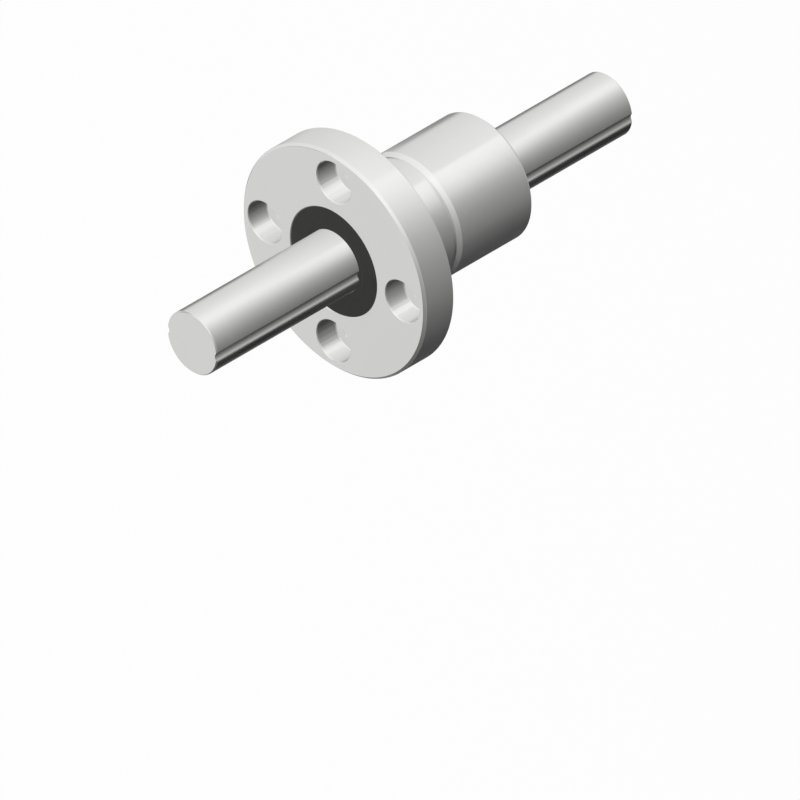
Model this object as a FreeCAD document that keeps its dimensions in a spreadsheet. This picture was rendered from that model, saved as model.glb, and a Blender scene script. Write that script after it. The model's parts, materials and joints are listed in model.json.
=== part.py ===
import FreeCAD, Part
import math
import os
import sys

import Sketcher

# Ball spline: a flanged nut that slides on a round shaft with two ball grooves and passes torque to it.
#
# Millimetres. The shaft's axis is Y, with the flange's open face towards -Y, and +Z is up. The origin is on
# the axis, at the flange's seating face, which is its rear face. Each piece is drawn with its outer face at
# y = 0 and is then placed along the axis.

SIZES = [
    ("shaft_diameter", 12, "ground diameter of the shaft"),
    ("shaft_length", 100, "shaft, end to end"),
    ("front_overhang", 34, "shaft that stands out of the flange's face"),
    ("shaft_end_chamfer", 0.3, "chamfer at both ends of the shaft"),
    ("ball_diameter", 2, "diameter of a ball"),
    ("ball_sink", 0.5, "depth of a loaded ball below the shaft's surface"),
    ("groove_edge_break", 0.15, "chamfer along the edges of the shaft's grooves"),
    ("race_clearance", 0.02, "ball to the groove that it runs in"),
    ("passage_clearance", 0.06, "ball to the wall of its return passage"),
    ("passage_web", 0.7, "metal between a groove of the nut and the return passage beside it"),
    ("passage_lean", 41, "degrees from the loaded row's radius to the line between the rows"),
    ("fit_gap", 0.05, "radial gap around a piece that is seated in a bore"),
    ("nut_length", 36, "nut, face to face"),
    ("body_wall", 1.4, "metal outside the retaining ring's groove"),
    ("body_end_chamfer", 0.4, "chamfer at the rear end of the ground body"),
    ("end_chamfer", 0.15, "chamfer at the mouth of each end bore"),
    ("neck_length", 10.8, "relieved neck behind the flange"),
    ("neck_relief", 0.45, "depth of the neck below the ground body"),
    ("shoulder_length", 0.9, "bevel from the neck up to the ground body, along the axis"),
    ("flange_thickness", 7, "flange, face to face"),
    ("flange_rim", 1.5, "metal outside each counterbore"),
    ("flange_front_chamfer", 0.6, "chamfer at the front edge of the flange"),
    ("flange_rear_chamfer", 0.2, "chamfer at the rear edge of the flange"),
    ("bolt_count", 4, "bolt holes"),
    ("bolt_hole", 4.5, "diameter of a bolt hole"),
    ("bolt_land", 0.5, "metal between the ground body's radius and a counterbore"),
    ("counterbore", 8, "diameter of a counterbore"),
    ("counterbore_depth", 4.4, "depth of a counterbore"),
    ("oil_hole", 2, "diameter of the oil hole in the neck's underside"),
    ("seal_recess", 0.15, "end seal below the nut's face"),
    ("seal_thickness", 2.3, "end seal, face to back"),
    ("seal_lip_thickness", 1.1, "rubber around the shaft"),
    ("seal_lip_gap", 0.05, "seal lip to the shaft, and to its grooves"),
    ("seal_bead_place", 0.9, "from the seal's face to its snap-in bead"),
    ("seal_bead_width", 0.6, "bead, along the axis"),
    ("seal_bead_height", 0.3, "bead, above the seal's rim"),
    ("core_thickness", 0.7, "steel washer in the back of a seal"),
    ("core_width", 1.4, "steel washer, inner edge to outer edge"),
    ("core_edge", 0.65, "rubber on each side of the steel washer"),
    ("snap_clearance", 0.1, "along the axis, on each side of the retaining ring's place"),
    ("snap_ring_thickness", 1, "retaining ring"),
    ("snap_ring_width", 1.15, "retaining ring, inner edge to outer edge"),
    ("snap_groove_depth", 0.5, "retaining ring's groove below the end bore"),
    ("snap_opening", 2.6, "gap between the retaining ring's ends"),
    ("lug_diameter", 2.2, "eye at each end of the retaining ring"),
    ("lug_hole", 1.1, "plier hole in an eye"),
    ("lug_drop", 0.7, "centre of an eye inside the ring's inner edge"),
    ("lug_reach", 0.8, "centre of an eye past the ring's end"),
    ("side_ring_thickness", 0.5, "steel washer under the retaining ring"),
    ("side_ring_gap", 0.4, "that washer to the shaft"),
    ("cap_rim", 0.2, "resin outside a turning passage"),
    ("cap_wall", 0.7, "resin behind a turning passage"),
    ("cap_bore_gap", 0.1, "turn cap to the shaft, and its tongues to the grooves"),
    ("retainer_gap", 0.15, "ball retainer to the shaft"),
    ("retainer_wall", 0.3, "wall of the ball retainer"),
    ("ball_gap", 0.02, "least gap between two balls of a circuit"),
]

# Radii count from the axis, and depths from the nut's nearer end face. The end bore is drawn in tenths of a
# millimetre. A groove of the shaft would meet the shaft's surface at the rim: its bevel starts at the edge,
# on the surface beyond the rim, and runs down to the groove's wall.
WORKED = [
    ("shaft_radius", "Sizes.shaft_diameter / 2"),
    ("ball_radius", "Sizes.ball_diameter / 2"),
    ("ball_row", "shaft_radius + ball_radius - Sizes.ball_sink"),
    ("race_radius", "ball_radius + Sizes.race_clearance"),
    ("rim_x", "(shaft_radius ^ 2 + ball_row ^ 2 - race_radius ^ 2) / (2 * ball_row)"),
    ("rim_z", "sqrt(shaft_radius ^ 2 - rim_x ^ 2)"),
    ("edge_z", "rim_z + Sizes.groove_edge_break"),
    ("edge_x", "sqrt(shaft_radius ^ 2 - edge_z ^ 2)"),
    ("bevel_z", "rim_z - Sizes.groove_edge_break / 2"),
    ("bevel_x", "ball_row - sqrt(race_radius ^ 2 - bevel_z ^ 2)"),
    ("passage_radius", "ball_radius + Sizes.passage_clearance"),
    ("row_distance", "race_radius + Sizes.passage_web + passage_radius"),
    ("return_x", "ball_row + row_distance * cos(Sizes.passage_lean)"),
    ("return_z", "row_distance * sin(Sizes.passage_lean)"),
    ("return_row", "sqrt(return_x ^ 2 + return_z ^ 2)"),
    ("end_bore", "ceil((return_row + passage_radius + Sizes.cap_rim + Sizes.fit_gap) / 0.1) * 0.1"),
    ("seat_radius", "end_bore - Sizes.fit_gap"),
    ("snap_groove", "end_bore + Sizes.snap_groove_depth"),
    ("body_radius", "snap_groove + Sizes.body_wall"),
    ("neck_radius", "body_radius - Sizes.neck_relief"),
    ("bolt_radius", "body_radius + Sizes.bolt_land + Sizes.counterbore / 2"),
    ("flange_radius", "bolt_radius + Sizes.counterbore / 2 + Sizes.flange_rim"),
    ("retainer_inner", "shaft_radius + Sizes.retainer_gap"),
    ("retainer_outer", "retainer_inner + Sizes.retainer_wall"),
    ("nut_bore", "retainer_outer + Sizes.fit_gap"),
    ("seal_lip", "shaft_radius + Sizes.seal_lip_gap"),
    ("bead_start", "Sizes.seal_recess + Sizes.seal_bead_place"),
    ("bead_end", "bead_start + Sizes.seal_bead_width"),
    ("bead_groove", "end_bore + Sizes.seal_bead_height"),
    ("core_outer", "seat_radius - Sizes.core_edge"),
    ("core_inner", "core_outer - Sizes.core_width"),
    ("core_back", "Sizes.seal_thickness - Sizes.core_thickness"),
    ("seal_back", "Sizes.seal_recess + Sizes.seal_thickness"),
    ("snap_start", "seal_back + Sizes.snap_clearance"),
    ("snap_end", "snap_start + Sizes.snap_ring_thickness"),
    ("snap_outer", "snap_groove - Sizes.fit_gap"),
    ("snap_inner", "snap_outer - Sizes.snap_ring_width"),
    ("lug_x", "Sizes.snap_opening / 2 + Sizes.lug_reach"),
    ("lug_z", "sqrt((snap_inner - Sizes.lug_drop) ^ 2 - lug_x ^ 2)"),
    ("cap_start", "snap_end + Sizes.side_ring_thickness"),
    ("turn_radius", "row_distance / 2"),
    ("cap_thickness", "turn_radius + passage_radius + Sizes.cap_wall"),
    ("cap_end", "cap_start + cap_thickness"),
    ("race_length", "Sizes.nut_length - 2 * cap_end"),
    ("oil_place", "Sizes.flange_thickness + Sizes.neck_length / 2"),
]

HALVINGS = 30  # steps of a search by halves
LEAST_CUT = 0.001  # a cut that takes away less than this, in cubic millimetres, has missed

doc = FreeCAD.newDocument("ball_spline")


def fill_sheets():
    """Writes a sheet of the driving sizes, as plain numbers, and one of the values worked out from them."""
    sizes = doc.addObject("Spreadsheet::Sheet", "Sizes")
    for row, (alias, value, meaning) in enumerate(SIZES, 1):
        sizes.set(f"A{row}", alias)
        sizes.set(f"B{row}", str(value))
        sizes.setAlias(f"B{row}", alias)
        sizes.set(f"C{row}", meaning)
    worked = doc.addObject("Spreadsheet::Sheet", "Worked")
    for row, (alias, formula) in enumerate(WORKED, 1):
        worked.set(f"A{row}", alias)
        worked.set(f"B{row}", f"={formula}")
        worked.setAlias(f"B{row}", alias)
    doc.recompute()


def number(expression):
    """The value of an expression on the two sheets, as a plain number."""
    return float(doc.Sizes.evalExpression(expression))


def new_body(label):
    body = doc.addObject("PartDesign::Body", label)
    body.Label = label
    return body


def origin_feature(body, role):
    return next(feature for feature in body.Origin.OriginFeatures if feature.Role == role)


def new_sketch(body, name, plane, depth="0"):
    """A sketch on one of the body's own planes; a depth lifts one on XZ_Plane to that y."""
    sketch = body.newObject("Sketcher::SketchObject", name)
    sketch.AttachmentSupport = [(origin_feature(body, plane), "")]
    sketch.MapMode = "FlatFace"
    sketch.setExpression("AttachmentOffset.Base.z", f"-({depth})")
    return sketch


def pin(sketch, element, vertex, across, along):
    """Holds a vertex of the sketch at two expressions, measured from the sketch's origin."""
    for kind, axis, expression in (("DistanceX", -2, across), ("DistanceY", -1, along)):
        if expression == "0":
            sketch.addConstraint(Sketcher.Constraint("PointOnObject", element, vertex, axis))
        else:
            rule = Sketcher.Constraint(kind, -1, 1, element, vertex, number(expression))
            index = sketch.addConstraint(rule)
            sketch.setExpression(f"Constraints[{index}]", expression)


def add_polygon(sketch, corners):
    """Draws a closed outline of straight edges through corners given as pairs of expressions."""
    spots = [FreeCAD.Vector(number(across), number(along), 0) for across, along in corners]
    lines = [
        sketch.addGeometry(Part.LineSegment(spots[i - 1], spots[i])) for i in range(len(spots))
    ]
    for i, (across, along) in enumerate(corners):
        following = lines[(i + 1) % len(lines)]
        sketch.addConstraint(Sketcher.Constraint("Coincident", lines[i], 2, following, 1))
        pin(sketch, lines[i], 2, across, along)


def add_circle(sketch, across, along, radius):
    centre = FreeCAD.Vector(number(across), number(along), 0)
    ring = sketch.addGeometry(Part.Circle(centre, FreeCAD.Vector(0, 0, 1), number(radius)))
    index = sketch.addConstraint(Sketcher.Constraint("Radius", ring, number(radius)))
    sketch.setExpression(f"Constraints[{index}]", radius)
    pin(sketch, ring, 3, across, along)


def revolve(body, name, corners, angle=360, reversed_turn=False):
    """Turns an outline of (radius, y) corners about the Y axis."""
    sketch = new_sketch(body, f"{name}_outline", "XY_Plane")
    add_polygon(sketch, corners)
    solid = body.newObject("PartDesign::Revolution", name)
    solid.Profile = sketch
    solid.ReferenceAxis = (sketch, ["V_Axis"])
    solid.Angle = angle
    solid.Reversed = reversed_turn
    return solid


def ring_outline(inner, outer, thickness):
    return [(inner, "0"), (outer, "0"), (outer, thickness), (inner, thickness)]


def pad_circle(body, name, circles, length):
    """Adds round bosses from y = 0 backwards."""
    sketch = new_sketch(body, f"{name}_outline", "XZ_Plane")
    for across, along, radius in circles:
        add_circle(sketch, across, along, radius)
    boss = body.newObject("PartDesign::Pad", name)
    boss.Profile = sketch
    boss.Reversed = True
    boss.setExpression("Length", length)
    return boss


def pocket_through(body, name, draw, plane="XZ_Plane"):
    """Cuts what draw puts in a sketch: along +Y from XZ_Plane, or towards -Z from XY_Plane."""
    sketch = new_sketch(body, f"{name}_outline", plane)
    draw(sketch)
    cut = body.newObject("PartDesign::Pocket", name)
    cut.Profile = sketch
    cut.Type = "ThroughAll"
    return cut


def draw_race(sketch):
    """The groove that a loaded row runs in; the shaft and the nut share its circle."""
    add_circle(sketch, "Worked.ball_row", "0", "Worked.race_radius")


def draw_passage(sketch):
    add_circle(sketch, "Worked.return_x", "Worked.return_z", "Worked.passage_radius")


def mirror(body, name, originals):
    """Repeats features on the other side of the YZ plane."""
    copy = body.newObject("PartDesign::Mirrored", name)
    copy.Originals = originals
    copy.MirrorPlane = (origin_feature(body, "YZ_Plane"), [""])
    body.Tip = copy
    return copy


def place(piece, depth, rear=False):
    """Puts a piece's outer face at a depth below the nut's front face; a rear piece is turned half round."""
    if rear:
        half_turn = FreeCAD.Rotation(FreeCAD.Vector(0, 0, 1), 180)
        piece.Placement = FreeCAD.Placement(FreeCAD.Vector(), half_turn)
        along = f"Sizes.nut_length - Sizes.flange_thickness - ({depth})"
    else:
        along = f"{depth} - Sizes.flange_thickness"
    piece.setExpression("Placement.Base.y", along)
    return piece


def make_shaft():
    """Round bar with chamfered ends, then two grooves along its whole length, with their edges broken."""
    body = new_body("spline_shaft")
    end = "Worked.shaft_radius - Sizes.shaft_end_chamfer"
    corners = [
        ("0", "0"),
        (end, "0"),
        ("Worked.shaft_radius", "Sizes.shaft_end_chamfer"),
        ("Worked.shaft_radius", "Sizes.shaft_length - Sizes.shaft_end_chamfer"),
        (end, "Sizes.shaft_length"),
        ("0", "Sizes.shaft_length"),
    ]
    revolve(body, "bar", corners)
    groove = pocket_through(body, "shaft_groove", draw_race)
    outer_x = "2 * Worked.edge_x - Worked.bevel_x"
    outer_z = "2 * Worked.edge_z - Worked.bevel_z"
    bevels = [
        ("Worked.bevel_x", "-Worked.bevel_z"),
        (outer_x, f"-({outer_z})"),
        (outer_x, outer_z),
        ("Worked.bevel_x", "Worked.bevel_z"),
    ]
    edges = pocket_through(body, "groove_edges", lambda sketch: add_polygon(sketch, bevels))
    mirror(body, "shaft_grooves", [groove, edges])
    return place(body, "-Sizes.front_overhang")


def end_bore_steps():
    """Half outline of an end bore, as (radius, depth) from its mouth to the shoulder under the turn cap."""
    bore = "Worked.end_bore"
    back_of_groove = "Worked.snap_end + Sizes.snap_clearance"
    return [
        (f"{bore} + Sizes.end_chamfer", "0"),
        (bore, "Sizes.end_chamfer"),
        (bore, "Worked.bead_start"),
        ("Worked.bead_groove", "Worked.bead_start"),
        ("Worked.bead_groove", "Worked.bead_end"),
        (bore, "Worked.bead_end"),
        (bore, "Worked.snap_start"),
        ("Worked.snap_groove", "Worked.snap_start"),
        ("Worked.snap_groove", back_of_groove),
        (bore, back_of_groove),
        (bore, "Worked.cap_end"),
        ("Worked.nut_bore", "Worked.cap_end"),
    ]


def make_nut():
    """Turned cylinder with its flange, then ball grooves, return passages, bolt holes and the oil hole."""
    body = new_body("flanged_nut")
    back = "Sizes.flange_thickness"
    shoulder = f"{back} + Sizes.neck_length"
    rear = "Sizes.nut_length"
    outside = [
        ("Worked.flange_radius - Sizes.flange_front_chamfer", "0"),
        ("Worked.flange_radius", "Sizes.flange_front_chamfer"),
        ("Worked.flange_radius", f"{back} - Sizes.flange_rear_chamfer"),
        ("Worked.flange_radius - Sizes.flange_rear_chamfer", back),
        ("Worked.neck_radius", back),
        ("Worked.neck_radius", shoulder),
        ("Worked.body_radius", f"{shoulder} + Sizes.shoulder_length"),
        ("Worked.body_radius", f"{rear} - Sizes.body_end_chamfer"),
        ("Worked.body_radius - Sizes.body_end_chamfer", rear),
    ]
    steps = end_bore_steps()
    rear_bore = [(radius, f"{rear} - ({depth})") for radius, depth in steps]
    revolve(body, "turned_blank", outside + rear_bore + steps[::-1])

    race = pocket_through(body, "race", draw_race)
    passage = pocket_through(body, "passage", draw_passage)
    mirror(body, "races_and_passages", [race, passage])
    doc.recompute()

    place_of_hole = new_sketch(body, "bolt_place", "XZ_Plane")
    add_circle(place_of_hole, "0", "Worked.bolt_radius", "Sizes.bolt_hole / 2")
    hole = body.newObject("PartDesign::Hole", "bolt_hole")
    hole.Profile = place_of_hole
    hole.Threaded = False
    hole.DepthType = "ThroughAll"
    hole.HoleCutType = "Counterbore"
    hole.HoleCutCustomValues = True
    hole.setExpression("Diameter", "Sizes.bolt_hole")
    hole.setExpression("HoleCutDiameter", "Sizes.counterbore")
    hole.setExpression("HoleCutDepth", "Sizes.counterbore_depth")
    holes = body.newObject("PartDesign::PolarPattern", "bolt_holes")
    holes.Originals = [hole]
    holes.Axis = (origin_feature(body, "Y_Axis"), [""])
    holes.Angle = 360
    holes.setExpression("Occurrences", "Sizes.bolt_count")
    body.Tip = holes

    pocket_through(
        body,
        "oil_hole",
        lambda sketch: add_circle(sketch, "0", "Worked.oil_place", "Sizes.oil_hole / 2"),
        "XY_Plane",
    )
    return place(body, "0")


def make_seal(label, rear):
    """Rubber end seal: a rim with a snap-in bead, and a thin lip with a nib for each groove of the shaft."""
    body = new_body(label)
    thickness, lip = "Sizes.seal_thickness", "Sizes.seal_lip_thickness"
    bead_start = "Sizes.seal_bead_place"
    bead_end = "Sizes.seal_bead_place + Sizes.seal_bead_width"
    bead = "Worked.bead_groove - Sizes.fit_gap"
    web = "Worked.core_inner - Sizes.core_edge"
    corners = [
        ("Worked.seal_lip", "0"),
        ("Worked.seat_radius", "0"),
        ("Worked.seat_radius", bead_start),
        (bead, bead_start),
        (bead, bead_end),
        ("Worked.seat_radius", bead_end),
        ("Worked.seat_radius", thickness),
        ("Worked.core_outer", thickness),
        ("Worked.core_outer", "Worked.core_back"),
        ("Worked.core_inner", "Worked.core_back"),
        ("Worked.core_inner", thickness),
        (web, thickness),
        (web, lip),
        ("Worked.seal_lip", lip),
    ]
    revolve(body, f"{label}_ring", corners)
    nib = ("Worked.ball_row", "0", "Worked.race_radius - Sizes.seal_lip_gap")
    nib_pad = pad_circle(body, f"{label}_nib", [nib], lip)
    mirror(body, f"{label}_nibs", [nib_pad])
    return place(body, "Sizes.seal_recess", rear)


def make_seal_core(label, rear):
    """Steel washer, level with the back of its seal."""
    body = new_body(label)
    corners = ring_outline("Worked.core_inner", "Worked.core_outer", "Sizes.core_thickness")
    revolve(body, f"{label}_ring", corners)
    return place(body, "Sizes.seal_recess + Worked.core_back", rear)


def make_snap_ring(label, rear):
    """Internal retaining ring with a gap at the top and an eye at each end."""
    body = new_body(label)
    thickness = "Sizes.snap_ring_thickness"
    revolve(body, f"{label}_ring", ring_outline("Worked.snap_inner", "Worked.snap_outer", thickness))
    eye = ("Worked.lug_x", "Worked.lug_z", "Sizes.lug_diameter / 2")
    eye_pad = pad_circle(body, f"{label}_eye", [eye], thickness)
    plier_hole = pocket_through(
        body,
        f"{label}_plier_hole",
        lambda sketch: add_circle(sketch, "Worked.lug_x", "Worked.lug_z", "Sizes.lug_hole / 2"),
    )
    mirror(body, f"{label}_eyes", [eye_pad, plier_hole])
    side = "Sizes.snap_opening / 2"
    top = "Worked.snap_outer + Sizes.snap_ring_width"
    gap = [(f"-{side}", "0"), (side, "0"), (side, top), (f"-{side}", top)]
    pocket_through(body, f"{label}_gap", lambda sketch: add_polygon(sketch, gap))
    return place(body, "Worked.snap_start", rear)


def make_side_ring(label, rear):
    """Plain steel washer between the retaining ring and the turn cap."""
    body = new_body(label)
    inner = "Worked.shaft_radius + Sizes.side_ring_gap"
    revolve(body, f"{label}_ring", ring_outline(inner, "Worked.seat_radius", "Sizes.side_ring_thickness"))
    return place(body, "Worked.snap_end", rear)


def make_turn_cap(label, rear):
    """Resin ring with a tongue for each groove of the shaft and two U-shaped passages, each half a torus."""
    body = new_body(label)
    thickness = "Worked.cap_thickness"
    bore = "Worked.shaft_radius + Sizes.cap_bore_gap"
    revolve(body, f"{label}_ring", ring_outline(bore, "Worked.seat_radius", thickness))
    tongue = ("Worked.ball_row", "0", "Worked.race_radius - Sizes.cap_bore_gap")
    tongue_pad = pad_circle(body, f"{label}_tongue", [tongue], thickness)
    tongues = mirror(body, f"{label}_tongues", [tongue_pad])
    doc.recompute()
    turn = body.newObject("PartDesign::SubtractiveTorus", f"{label}_turn")
    turn.BaseFeature = tongues
    turn.setExpression("Radius1", "Worked.turn_radius")
    turn.setExpression("Radius2", "Worked.passage_radius")
    turn.Placement = FreeCAD.Placement(FreeCAD.Vector(), FreeCAD.Rotation(FreeCAD.Vector(0, 1, 0), -1))
    turn.setExpression("Placement.Base.x", "(Worked.ball_row + Worked.return_x) / 2")
    turn.setExpression("Placement.Base.y", thickness)
    turn.setExpression("Placement.Base.z", "Worked.return_z / 2")
    turn.setExpression("Placement.Rotation.Angle", "-Sizes.passage_lean")
    body.Tip = turn
    mirror(body, f"{label}_turns", [turn])
    return place(body, "Worked.cap_start", rear)


def make_retainer(label, lower):
    """Half liner of the nut's bore, cut back along both loaded rows so that it laps over the balls."""
    body = new_body(label)
    corners = ring_outline("Worked.retainer_inner", "Worked.retainer_outer", "Worked.race_length")
    revolve(body, f"{label}_half", corners, 180, not lower)
    slot = pocket_through(body, f"{label}_slot", draw_race)
    mirror(body, f"{label}_slots", [slot])
    if lower:
        oil_place = "Worked.oil_place - Worked.cap_end"
        pocket_through(
            body,
            f"{label}_oil_hole",
            lambda sketch: add_circle(sketch, "0", oil_place, "Sizes.oil_hole / 2"),
            "XY_Plane",
        )
    return place(body, "Worked.cap_end")


def loop_point(distance):
    """A point of the balls' loop, as (zone, across, along).

    The loop is two straight rows joined by half circles. Distance counts from the middle of the loaded row,
    rearwards first. Across runs from the loaded row to the return row, along from the nut's front shoulder.
    """
    straight, radius = number("Worked.race_length"), number("Worked.turn_radius")
    turn = math.pi * radius
    distance = distance % (2 * straight + 2 * turn)
    if distance <= straight / 2:
        return "loaded", 0.0, straight / 2 + distance
    distance -= straight / 2
    if distance < turn:
        angle = distance / radius
        return "rear_turn", radius * (1 - math.cos(angle)), straight + radius * math.sin(angle)
    distance -= turn
    if distance <= straight:
        return "return", 2 * radius, straight - distance
    distance -= straight
    if distance < turn:
        angle = distance / radius
        return "front_turn", radius * (1 + math.cos(angle)), -radius * math.sin(angle)
    return "loaded", 0.0, distance - turn


def next_ball(distance, pitch):
    """How far along the loop a ball's centre is one pitch, in a straight line, from the last one's."""
    _, across, along = loop_point(distance)
    low, high = distance, distance + pitch * math.pi / 2
    for _ in range(HALVINGS):
        middle = (low + high) / 2
        _, new_across, new_along = loop_point(middle)
        if math.hypot(new_across - across, new_along - along) < pitch:
            low = middle
        else:
            high = middle
    return low


def ball_distances():
    """Distances of a full circuit: as many balls as fit with their least gap, spread evenly round it."""
    loop = 2 * number("Worked.race_length") + 2 * math.pi * number("Worked.turn_radius")
    least = number("Sizes.ball_diameter + Sizes.ball_gap")

    def lay(pitch, count=None):
        places = [0.0]
        while len(places) <= count if count else places[-1] <= loop:
            places.append(next_ball(places[-1], pitch))
        return places

    count = len(lay(least)) - 2
    low, high = least, least * (1 + 2 / count)
    for _ in range(HALVINGS):
        middle = (low + high) / 2
        if lay(middle, count)[-1] < loop:
            low = middle
        else:
            high = middle
    return lay(low, count)[:count]


def make_circuit(side_name, side, distances):
    """The balls of one circuit, as one compound of separate solids for each zone of its loop."""
    lean = math.radians(number("Sizes.passage_lean"))
    zones = {}
    for index, distance in enumerate(distances, 1):
        zone, across, along = loop_point(distance)
        ball = doc.addObject("Part::Sphere", f"{side_name}_ball_{index:02d}")
        ball.setExpression("Radius", "Worked.ball_radius")
        x = side * (number("Worked.ball_row") + across * math.cos(lean))
        ball.Placement.Base = FreeCAD.Vector(x, along, across * math.sin(lean))
        zones.setdefault(zone, []).append(ball)
    groups = []
    for zone, balls in zones.items():
        group = doc.addObject("Part::Compound", f"{side_name}_{zone}_balls")
        group.Label = f"{side_name}_{zone}_balls"
        group.Links = balls
        groups.append(place(group, "Worked.cap_end"))
    return groups


def check(pieces):
    """Stops the macro if a feature failed, a cut took nothing away or a piece isn't a valid solid."""
    faults = []
    for thing in doc.Objects:
        if "Invalid" in thing.State or "Error" in thing.State:
            faults.append(f"{thing.Name}: {thing.State}")
        elif thing.TypeId in ("PartDesign::Pocket", "PartDesign::Hole", "PartDesign::SubtractiveTorus"):
            if thing.BaseFeature.Shape.Volume - thing.Shape.Volume < LEAST_CUT:
                faults.append(f"{thing.Name}: cuts nothing")
    for piece in pieces:
        if piece.Shape.isNull() or not piece.Shape.isValid() or not piece.Shape.Solids:
            faults.append(f"{piece.Label}: no valid solid")
        elif piece.TypeId == "PartDesign::Body" and len(piece.Shape.Solids) != 1:
            faults.append(f"{piece.Label}: {len(piece.Shape.Solids)} solids")
    if faults:
        sys.exit("\n".join(faults))


def write(pieces):
    os.makedirs("parts", exist_ok=True)
    for piece in pieces:
        piece.Shape.exportStep(f"parts/{piece.Label}.step")
        box = piece.Shape.BoundBox
        print(
            f"{piece.Label:26s} {len(piece.Shape.Solids):3d} solids {piece.Shape.Volume:10.2f} mm3",
            f"y {box.YMin:7.2f} to {box.YMax:6.2f}, across {box.XLength:5.2f} by {box.ZLength:5.2f}",
        )


fill_sheets()
pieces = [make_shaft(), make_nut()]
for end, rear in (("front", False), ("rear", True)):
    pieces.append(make_seal(f"{end}_seal", rear))
    pieces.append(make_seal_core(f"{end}_seal_core", rear))
    pieces.append(make_snap_ring(f"{end}_snap_ring", rear))
    pieces.append(make_side_ring(f"{end}_side_ring", rear))
    pieces.append(make_turn_cap(f"{end}_turn_cap", rear))
pieces.append(make_retainer("upper_ball_retainer", False))
pieces.append(make_retainer("lower_ball_retainer", True))
distances = ball_distances()
pieces += make_circuit("right", 1, distances)
pieces += make_circuit("left", -1, distances)
doc.recompute()
check(pieces)
write(pieces)
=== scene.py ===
import json
import math

import bmesh
import bpy
import numpy as np
from mathutils import Euler, Matrix, Vector


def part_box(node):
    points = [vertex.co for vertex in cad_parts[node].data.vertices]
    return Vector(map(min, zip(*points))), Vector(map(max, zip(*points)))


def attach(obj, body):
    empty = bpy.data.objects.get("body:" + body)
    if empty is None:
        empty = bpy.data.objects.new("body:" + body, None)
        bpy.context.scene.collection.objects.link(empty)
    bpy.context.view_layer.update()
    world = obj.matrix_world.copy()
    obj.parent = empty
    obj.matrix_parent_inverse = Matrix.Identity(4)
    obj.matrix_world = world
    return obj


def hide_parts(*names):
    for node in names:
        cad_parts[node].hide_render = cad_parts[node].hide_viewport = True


# Ball spline: a flanged nut on a round shaft with two ball grooves, dressed for the picture. The shaft, the
# nut and the two end seals are drawn afresh as fine surfaces, and the pieces inside keep their solids. The
# object's sizes are in millimetres until a mesh is made; the studio's are in metres. Angles on the object
# count from +Z towards +X, and the shaft's axis is Y.

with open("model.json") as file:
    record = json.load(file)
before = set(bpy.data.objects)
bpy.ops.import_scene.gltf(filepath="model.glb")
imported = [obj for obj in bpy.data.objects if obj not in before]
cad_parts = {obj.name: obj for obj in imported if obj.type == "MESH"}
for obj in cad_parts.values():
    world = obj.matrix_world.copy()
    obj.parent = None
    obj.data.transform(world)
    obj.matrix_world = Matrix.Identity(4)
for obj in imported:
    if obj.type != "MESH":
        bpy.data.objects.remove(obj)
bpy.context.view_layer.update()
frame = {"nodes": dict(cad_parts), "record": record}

MM = 0.001  # metres

# Shaft
SHAFT_RADIUS = 6.0
SHAFT_CHAMFER = 0.2
BALL_ROW = 6.5  # axis to the centre of a loaded ball
RACE_RADIUS = 1.02
GROOVE_BEVEL = 0.15
GROOVE_SIDES = (math.pi / 2, -math.pi / 2)

# Nut; depths count from its front face
BODY_RADIUS = 12.0
BODY_CHAMFER = 0.4
NECK_RADIUS = 11.6
NECK_END = 17.55
NECK_BLEND = 2.8  # radius of the slow bend from the neck into its root
CREASE = (11.42, 18.15)  # radius and depth of the root between the neck and the shoulder
SHOULDER_END = 19.05
NECK_ROOT = 0.3  # radius between the flange and the neck
BODY_ROUNDINGS = (0.4, 0.3, 0.3, 0.2)  # radii at the root, the shoulder's end and both ends of the chamfer
FLANGE_RADIUS = 22.0
FLANGE_BACK = 7.0
FLANGE_FRONT_CHAMFER = 0.45
FLANGE_REAR_CHAMFER = 0.2
FLANGE_ROUNDINGS = (0.15, 0.2, 0.1, 0.1)  # radii at the ends of the two chamfers, from the front
BOLT_HOLES = 4
COUNTERBORE_RADIUS = 4.0
COUNTERBORE_DEPTH = 4.4
COUNTERBORE_ROUNDINGS = (0.1, 0.25, 0.1)  # radii below its mouth, round its floor and at the through hole
HOLE_BREAK = 0.15  # edge break at the mouth of a hole
OIL_HOLE_RADIUS = 1.0
OIL_HOLE_PLACE = 12.4
OIL_HOLE_DEPTH = 4.9
END_BORE = 10.1
BORE_MOUTH = 0.4
BEAD_GROOVE = (10.4, 1.05, 1.65)  # radius, start and end
RING_GROOVE = (10.6, 2.55, 3.65)
BORE_SHOULDER = 7.2
NUT_BORE = 6.5
PASSAGE_RADIUS = 1.06
PASSAGE_X = 8.598  # centre of the passage in which balls return; the other has the opposite sign
PASSAGE_Z = 1.824

# End seals; depths count from their outer face
SEAL_RADIUS = 10.05
SEAL_FLARE = 0.37  # how far its outer edge spreads into the bore's mouth
SEAL_LIP = 6.05  # radius of its opening for the shaft
SEAL_THICKNESS = 2.3
SEAL_LIP_THICKNESS = 1.1
SEAL_NIB = 0.97  # radius of the nib in each ball groove
SEAL_DISH = 0.04  # how far the lip dips at the shaft
SEAL_DISH_RADII = (6.6, 7.1)  # inner and outer radius of the slope into the dip
SEAL_ROUNDINGS = (0.4, 0.4, 0.03, 0.1)  # radii at both ends of that slope and of the outer flare
SEAL_BEAD = (10.35, 0.9, 1.5)  # radius, start and end
SEAL_CORE = (8.0, 9.4, 1.6)  # inner and outer radius of the steel washer's seat, and its depth

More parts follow.
